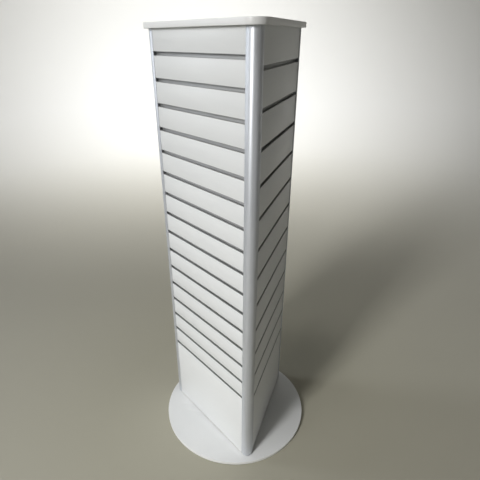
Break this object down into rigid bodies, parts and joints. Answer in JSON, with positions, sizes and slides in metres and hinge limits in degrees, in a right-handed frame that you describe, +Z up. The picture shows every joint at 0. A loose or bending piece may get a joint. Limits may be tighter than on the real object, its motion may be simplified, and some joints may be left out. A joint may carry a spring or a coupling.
{
  "type": "slatwall display tower",
  "caption": "Revolving three-sided slatwall display tower: white grooved panels with metal inserts and rounded corner extrusions, on a round base disc.",
  "frame": {"origin": "on the floor at the centre of the round base disc, on the axis that the tower turns about", "axes": "+Z up; the front panel, with the closer groove pitch, faces -Y; the right panel faces 30 degrees and the left panel 150 degrees from +X"},
  "size_m": [0.5999, 0.6, 1.528],
  "materials": {
    "white_melamine_board": "white melamine facing on fibreboard, satin",
    "plain_board": "raw fibreboard",
    "white_edging": "satin",
    "softwood": "planed",
    "anodised_profile": "satin anodised",
    "anodised_insert": "satin anodised",
    "pad_rubber": "matt",
    "zinc_plate": "zinc plated",
    "bearing_steel": "polished",
    "nylon": "moulded",
    "white_cap": "satin",
    "zinc_steel": "zinc plated"
  },
  "bodies": {
    "base": {"base_disc": "white_melamine_board", "base_edge_band": "white_edging", "base_pads": "pad_rubber", "bearing_lower_plate": "zinc_plate", "bearing_lower_screws": "zinc_steel", "pivot_bolt": "zinc_steel", "pivot_washer": "zinc_steel", "pivot_nut": "zinc_steel"},
    "ball_ring": {"bearing_cage": "nylon", "bearing_balls": "bearing_steel"},
    "tower": {"bearing_upper_plate": "zinc_plate", "bearing_upper_screws": "zinc_steel", "pivot_bush": "nylon", "bottom_board": "plain_board", "bottom_board_screws": "zinc_steel", "bottom_batten_front": "softwood", "bottom_batten_right": "softwood", "bottom_batten_left": "softwood", "bottom_batten_screws": "zinc_steel", "corner_profile_right": "anodised_profile", "corner_profile_rear": "anodised_profile", "corner_profile_left": "anodised_profile", "panel_front": "white_melamine_board", "panel_right": "white_melamine_board", "panel_left": "white_melamine_board", "groove_inserts_front": "anodised_insert", "groove_inserts_right": "anodised_insert", "groove_inserts_left": "anodised_insert", "top_batten_front": "softwood", "top_batten_right": "softwood", "top_batten_left": "softwood", "top_batten_screws": "zinc_steel", "top_board_screws": "zinc_steel", "top_board": "white_melamine_board", "top_edge_band": "white_edging", "top_corner_screws": "zinc_steel", "top_screw_caps": "white_cap"}
  },
  "joints": [
    {"name": "tower_spin", "type": "hinge", "parent": "base", "child": "tower", "pos_m": [0, 0, 0.018], "axis": [0, 0, 1], "continuous": true},
    {"name": "ball_ring_spin", "type": "hinge", "parent": "base", "child": "ball_ring", "pos_m": [0, 0, 0.018], "axis": [0, 0, 1], "continuous": true}
  ],
  "couplings": [
    {"joint": "ball_ring_spin", "follows": "tower_spin", "ratio": 0.5}
  ]
}
